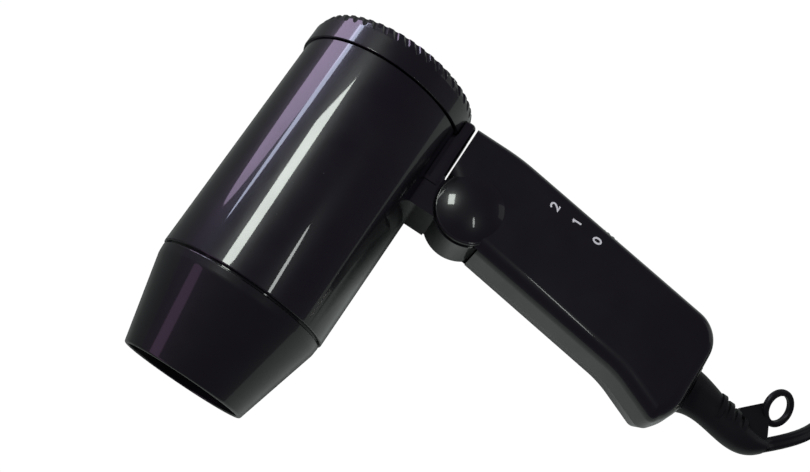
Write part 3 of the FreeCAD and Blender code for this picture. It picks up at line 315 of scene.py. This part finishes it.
LOOKS = {
    "barrel_plastic": moulded(
        "barrel_plastic", (0.0042, 0.0032, 0.0062), (0.0060, 0.0048, 0.0085), 0.34,
        coat=1.0, coat_rough=0.04, dust=0.25,
    ),
    "nozzle_plastic": moulded(
        "nozzle_plastic", (0.0042, 0.0038, 0.0052), (0.0060, 0.0055, 0.0072), 0.38, coat=0.8, coat_rough=0.07
    ),
    "knurl_plastic": moulded(
        "knurl_plastic", (0.0048, 0.0040, 0.0065), (0.0066, 0.0056, 0.0085), 0.34, coat=1.0, coat_rough=0.06
    ),
    "handle_plastic": moulded(
        "handle_plastic", (0.0052, 0.0046, 0.0064), (0.0072, 0.0066, 0.0086), 0.36,
        coat=0.8, coat_rough=0.06, dust=0.2,
    ),
    "slider_plastic": moulded(
        "slider_plastic", (0.010, 0.010, 0.011), (0.015, 0.015, 0.016), 0.42, grain=0.00002
    ),
    "inner_plastic": moulded(
        "inner_plastic", (0.012, 0.012, 0.013), (0.018, 0.018, 0.019), 0.5, grain=0.00002
    ),
    "switch_plastic": moulded(
        "switch_plastic", (0.03, 0.03, 0.033), (0.045, 0.045, 0.05), 0.5, grain=0.00002
    ),
    "soft_pvc": moulded(
        "soft_pvc", (0.010, 0.010, 0.011), (0.014, 0.014, 0.016), 0.42, grain=0.00001, wave=0.00005
    ),
    "cord_pvc": moulded("cord_pvc", (0.009, 0.009, 0.011), (0.013, 0.013, 0.015), 0.36, grain=0.00001),
    "tie_plastic": moulded(
        "tie_plastic", (0.012, 0.012, 0.013), (0.02, 0.02, 0.021), 0.55, grain=0.00004, grain_scale=1500.0
    ),
    "mica": moulded("mica", (0.38, 0.31, 0.21), (0.60, 0.52, 0.38), 0.38, grain=0.00003, grain_scale=700.0),
    "board": moulded(
        "board", (0.30, 0.19, 0.07), (0.42, 0.28, 0.12), 0.45, grain=0.00001, grain_scale=1200.0
    ),
    "magnet": moulded(
        "magnet", (0.045, 0.045, 0.05), (0.075, 0.075, 0.08), 0.6, grain=0.00004, grain_scale=1800.0
    ),
    "filter_mesh": moulded(
        "filter_mesh", (0.015, 0.015, 0.015), (0.03, 0.03, 0.03), 0.6, grain=0.00006, grain_scale=1400.0
    ),
    "steel": metal("steel", (0.62, 0.62, 0.63), 0.26),
    "wire_steel": metal("wire_steel", (0.34, 0.33, 0.32), 0.34),
    "element_wire": metal("element_wire", (0.40, 0.34, 0.28), 0.4),
    "armature_metal": metal("armature_metal", (0.50, 0.33, 0.18), 0.36, (1.0, 12.0, 1.0)),
    "brass": metal("brass", (0.78, 0.74, 0.66), 0.22, (1.0, 1.0, 1.0)),
}
slots = {row["node"]: row["material_slot"] for row in frame["record"]["subparts"]}
for name, node in nodes.items():
    node.data.materials.clear()
    node.data.materials.append(LOOKS[slots[name]])
cord.data.materials.append(LOOKS["cord_pvc"])

# ---------------------------------------------------------------- printed numerals, their ink with a faint painted glow
ink_with_painted_glow, ink_tree, ink_shader = material("ink_with_painted_glow")
ink_tree.links.new(
    ramp(ink_tree, noise(ink_tree, 1800.0, 4.0), [(0.3, (0.80, 0.80, 0.81)), (0.6, (0.94, 0.94, 0.95))]),
    ink_shader.inputs["Base Color"],
)
socket(ink_shader, "Roughness", 0.55)
# painted light: the ink glows faintly, so the numerals show brighter than the lamps alone make them
socket(ink_shader, "Emission Color", (0.8, 0.8, 0.82, 1.0))
socket(ink_shader, "Emission Strength", 0.16)
STROKE = 0.72


def oval(wide, tall, steps=28):
    """A closed ring of points, millimetres."""
    turn = 2 * math.pi / steps
    return [(wide * math.cos(turn * k), tall * math.sin(turn * k)) for k in range(steps + 1)]


def two():
    """A hook, a slanting stroke and a foot."""
    angles = [lerp(2.9, -0.65, k / 12) for k in range(13)]
    hook = [(math.cos(a), 0.85 + 0.95 * math.sin(a)) for a in angles]
    return hook + [(0.1, -0.75), (-1.0, -1.55), (1.05, -1.55)]


NUMERALS = [
    ("2", -3.375, 56.3, [two()]),
    ("1", 6.525, 55.8, [[(-0.75, 1.0), (0.1, 1.6)], [(0.15, 1.85), (0.15, -1.9)]]),
    ("0", 16.725, 54.0, [oval(0.98, 1.55)]),
]
near_shell = nodes["handle_shell_left"]


def stroke_quads(points, verts, faces):
    """A band of even width along the points, mitred at each of them."""
    spots = [Vector(p) for p in points]
    closed = (spots[0] - spots[-1]).length < 1e-6
    start = len(verts)
    for k, spot in enumerate(spots):
        before = spots[k - 1] if k else (spots[-2] if closed else None)
        after = spots[k + 1] if k + 1 < len(spots) else (spots[1] if closed else None)
        pairs = [(a, b) for a, b in ((before, spot), (spot, after)) if a is not None and b is not None]
        legs = [(b - a).normalized() for a, b in pairs]
        along = sum(legs, Vector((0.0, 0.0))).normalized()
        square = Vector((-along.y, along.x))
        half = STROKE / 2 / max(0.55, along.dot(legs[0]))
        verts += [spot + square * half, spot - square * half]
        if k:
            a = start + 2 * k
            faces.append((a - 2, a - 1, a + 1, a))


for digit, x, y, strokes in NUMERALS:
    flat, faces = [], []
    for stroke in strokes:
        stroke_quads(stroke, flat, faces)
    verts = []
    for across, up in flat:
        place = Vector((x * MM - up * MM, y * MM + across * MM, 0.1))
        hit, spot, _, _ = near_shell.ray_cast(place, Vector((0, 0, -1)))
        verts.append((place.x, place.y, (spot.z if hit else place.z) + 0.00004))
    numeral = new_mesh("numeral_" + digit, verts, faces, "handle")
    numeral.data.materials.append(ink_with_painted_glow)

# ---------------------------------------------------------------- floor and light
FLOOR_SIZE = 3.0
FLOOR_DROP = 0.0002
FLOOR_FADE = (-0.17, -0.02)          # where along X the mirrored floor goes from dim to full
FLOOR_GLOW = (0.12, 0.40)            # its strength at those two places
SHADE_REACH = 0.035                  # how near a piece has to be to darken the mirrored floor
SHADE_POWER = 4.0
floor_mesh = bpy.data.meshes.new("floor")
floor_mesh.from_pydata(
    [(x * FLOOR_SIZE, y * FLOOR_SIZE, 0.0) for x, y in ((-1, -1), (1, -1), (1, 1), (-1, 1))], [], [(0, 1, 2, 3)]
)
floor = bpy.data.objects.new("floor", floor_mesh)
floor.location.z = -FLOOR_DROP
scene.collection.objects.link(floor)


def lit_backdrop(tree, output, shown, mirrored, kind):
    """White to look at, dimmer as the gloss plastic mirrors it; gives back the dimmer light's node."""
    path = tree.nodes.new("ShaderNodeLightPath")
    mix = tree.nodes.new("ShaderNodeMixShader")
    tree.links.new(path.outputs["Is Camera Ray"], mix.inputs["Fac"])
    lights = []
    for index, (colour, strength) in ((1, mirrored), (2, shown)):
        light = tree.nodes.new(kind)
        light.inputs["Color"].default_value = (*colour, 1.0)
        light.inputs["Strength"].default_value = strength
        tree.links.new(light.outputs[0], mix.inputs[index])
        lights.append(light)
    tree.links.new(mix.outputs[0], output.inputs["Surface"])
    return lights[0]


floor_material, floor_tree, floor_shader = material("floor_white")
floor_tree.nodes.remove(floor_shader)
dim = lit_backdrop(
    floor_tree,
    floor_tree.nodes["Material Output"],
    ((1.0, 1.0, 1.0), 1.02),
    ((0.93, 1.0, 0.96), FLOOR_GLOW[1]),
    "ShaderNodeEmission",
)
# the side away from the lamps throws less back at the plastic
place = floor_tree.nodes.new("ShaderNodeSeparateXYZ")
floor_tree.links.new(coordinates(floor_tree), place.inputs[0])
fade = floor_tree.nodes.new("ShaderNodeMapRange")
for index, value in enumerate(FLOOR_FADE + FLOOR_GLOW, 1):
    fade.inputs[index].default_value = value
floor_tree.links.new(place.outputs["X"], fade.inputs["Value"])
# and so does the floor close under the dryer
near = floor_tree.nodes.new("ShaderNodeAmbientOcclusion")
near.inputs["Distance"].default_value = SHADE_REACH
near.samples = 6
shade = floor_tree.nodes.new("ShaderNodeMath")
shade.operation = "POWER"
shade.inputs[1].default_value = SHADE_POWER
floor_tree.links.new(near.outputs["AO"], shade.inputs[0])
strength = floor_tree.nodes.new("ShaderNodeMath")
strength.operation = "MULTIPLY"
floor_tree.links.new(fade.outputs["Result"], strength.inputs[0])
floor_tree.links.new(shade.outputs[0], strength.inputs[1])
floor_tree.links.new(strength.outputs[0], dim.inputs["Strength"])
floor_mesh.materials.append(floor_material)
world = bpy.data.worlds.new("studio")
scene.world = world
world.use_nodes = True
world.node_tree.nodes.clear()
world_output = world.node_tree.nodes.new("ShaderNodeOutputWorld")
lit_backdrop(
    world.node_tree, world_output, ((0.98, 0.98, 0.98), 1.0), ((1.0, 0.88, 1.22), 0.095), "ShaderNodeBackground"
)


def area_light(name, place, aim, across, along, strength, colour, turn, shape):
    """A softbox of the given radiance, its long side in line with the barrel, then turned."""
    data = bpy.data.lights.new(name, "AREA")
    data.shape = shape
    data.size, data.size_y = across, along
    data.energy = strength * math.pi * across * along * (math.pi / 4 if shape == "ELLIPSE" else 1.0)
    data.color = colour
    lamp = bpy.data.objects.new(name, data)
    back = (Vector(place) - Vector(aim)).normalized()
    side = Vector((0, 1, 0)).cross(back).normalized()
    facing = Matrix((side, back.cross(side), back)).transposed() @ Matrix.Rotation(math.radians(turn), 3, "Z")
    lamp.matrix_world = Matrix.Translation(place) @ facing.to_4x4()
    lamp.visible_camera = False
    scene.collection.objects.link(lamp)


BARREL_SIDE = (-0.10, 0.03, 0.05)
COOL_WHITE = (0.93, 1.0, 0.94)
PALE_WHITE = (0.95, 1.0, 0.97)
PLUM = (0.85, 0.50, 0.92)
# name, place, aim, across, along, radiance, colour, turn, shape
LIGHTS = [
    ("main", (-0.47, 0.17, 0.636), (-0.08, 0.0, 0.036), 0.135, 0.24, 15.0, COOL_WHITE, 24.0, "RECTANGLE"),
    ("second", (0.0375, 0.015, 0.268), (-0.05, -0.02, 0.07), 0.013, 0.075, 9.0, PALE_WHITE, 33.0, "ELLIPSE"),
    ("left_broad", (-0.43, 0.22, 0.11), BARREL_SIDE, 0.17, 0.34, 3.3, (0.84, 0.66, 1.0), 0.0, "ELLIPSE"),
    ("left_line", (-0.43, 0.21, 0.205), BARREL_SIDE, 0.045, 0.32, 9.0, (0.70, 0.76, 1.0), 4.0, "ELLIPSE"),
    ("nozzle_wash", (-0.36, -0.30, 0.20), (-0.10, -0.05, 0.04), 0.15, 0.50, 0.75, PLUM, 0.0, "ELLIPSE"),
    ("far_side", (0.55, 0.55, 0.30), (0.0, 0.0, 0.04), 0.40, 0.30, 0.3, (1.0, 1.0, 1.0), 0.0, "RECTANGLE"),
]
for light in LIGHTS:
    area_light(*light)

scene.view_settings.view_transform = "Standard"
